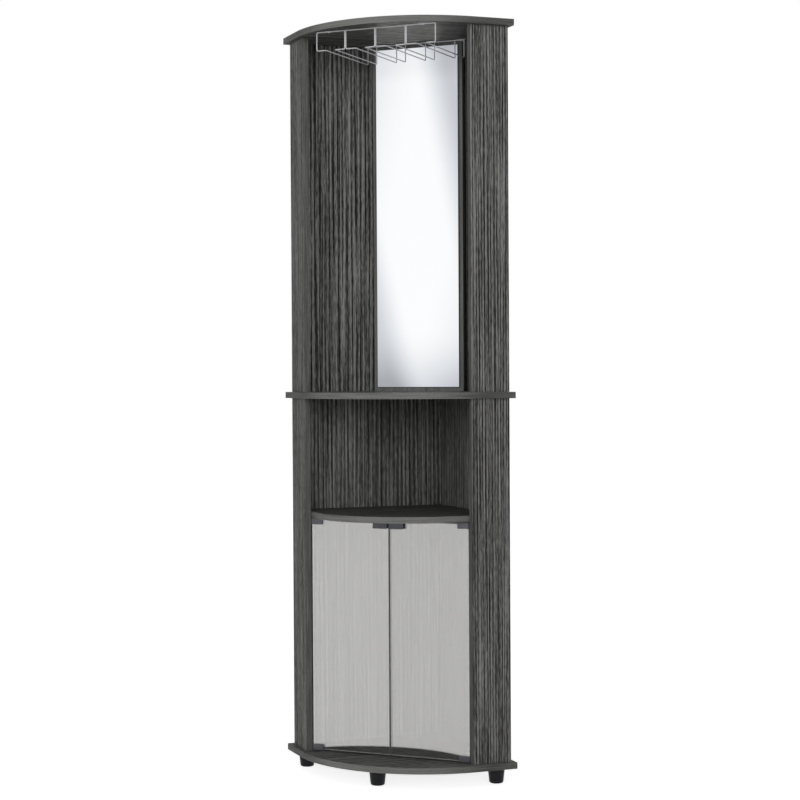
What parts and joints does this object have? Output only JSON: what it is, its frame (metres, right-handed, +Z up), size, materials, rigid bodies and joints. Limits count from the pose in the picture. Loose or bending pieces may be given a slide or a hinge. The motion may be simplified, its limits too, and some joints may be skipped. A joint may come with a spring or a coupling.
{
  "type": "glass door bar cabinet",
  "caption": "Tall corner bar cabinet in dark grey wood: a mirrored bay with a hanging stemware rack, an open niche, and a cupboard closed by a pair of grey glass doors.",
  "frame": {"origin": "floor level, under the middle of the cabinet's overall box", "axes": "+Z up, the bowed front towards -Y, the corner of the room towards +Y, the cabinet's right (seen from the front) towards +X"},
  "size_m": [0.608, 0.4734, 1.8],
  "materials": {
    "grey_wood": "dark grey ribbed wood grain, satin",
    "grey_glass": "grey half-mirrored glass, polished",
    "silvered_mirror": "silvered, polished",
    "chrome_wire": "bright plated wire",
    "black_plastic": "moulded, near black",
    "hinge_grey": "dark blue-grey, satin",
    "zinc_steel": "zinc plated",
    "tape_foam": "foam mounting tape"
  },
  "bodies": {
    "cabinet": {"base_panel": "grey_wood", "base_screw_left_return": "zinc_steel", "base_screw_left_wall": "zinc_steel", "base_screw_right_return": "zinc_steel", "base_screw_right_wall": "zinc_steel", "centre_foot": "black_plastic", "door_catch": "black_plastic", "left_bottom_hinge_bush": "black_plastic", "left_foot": "black_plastic", "left_top_hinge_bush": "black_plastic", "lower_left_return": "grey_wood", "lower_left_wall": "grey_wood", "lower_right_return": "grey_wood", "lower_right_wall": "grey_wood", "middle_panel": "grey_wood", "mirror": "silvered_mirror", "mirror_board": "grey_wood", "mirror_tape": "tape_foam", "niche_shelf": "grey_wood", "rack_back_wire": "chrome_wire", "rack_front_wire": "chrome_wire", "rack_screw_back_left": "zinc_steel", "rack_screw_back_right": "zinc_steel", "rack_screw_front_left": "zinc_steel", "rack_screw_front_right": "zinc_steel", "rack_slot_wire_1_left": "chrome_wire", "rack_slot_wire_1_right": "chrome_wire", "rack_slot_wire_2_left": "chrome_wire", "rack_slot_wire_2_right": "chrome_wire", "rack_slot_wire_3_left": "chrome_wire", "rack_slot_wire_3_right": "chrome_wire", "rear_foot": "black_plastic", "right_bottom_hinge_bush": "black_plastic", "right_foot": "black_plastic", "right_top_hinge_bush": "black_plastic", "top_panel": "grey_wood", "top_screw_left_return": "zinc_steel", "top_screw_left_wall": "zinc_steel", "top_screw_right_return": "zinc_steel", "top_screw_right_wall": "zinc_steel", "upper_left_return": "grey_wood", "upper_left_wall": "grey_wood", "upper_right_return": "grey_wood", "upper_right_wall": "grey_wood"},
    "left_door": {"left_bottom_grub_screw": "zinc_steel", "left_bottom_hinge_clamp": "hinge_grey", "left_bottom_hinge_pin": "zinc_steel", "left_glass_door": "grey_glass", "left_handle": "hinge_grey", "left_top_grub_screw": "zinc_steel", "left_top_hinge_clamp": "hinge_grey", "left_top_hinge_pin": "zinc_steel"},
    "right_door": {"right_bottom_grub_screw": "zinc_steel", "right_bottom_hinge_clamp": "hinge_grey", "right_bottom_hinge_pin": "zinc_steel", "right_glass_door": "grey_glass", "right_handle": "hinge_grey", "right_top_grub_screw": "zinc_steel", "right_top_hinge_clamp": "hinge_grey", "right_top_hinge_pin": "zinc_steel"}
  },
  "joints": [
    {"name": "left_door_hinge", "type": "hinge", "parent": "cabinet", "child": "left_door", "pos_m": [-0.19348, -0.11977, 0.056], "axis": [0, 0, -1], "range_deg": [0, 110]},
    {"name": "right_door_hinge", "type": "hinge", "parent": "cabinet", "child": "right_door", "pos_m": [0.19348, -0.11977, 0.056], "axis": [0, 0, 1], "range_deg": [0, 110]}
  ]
}
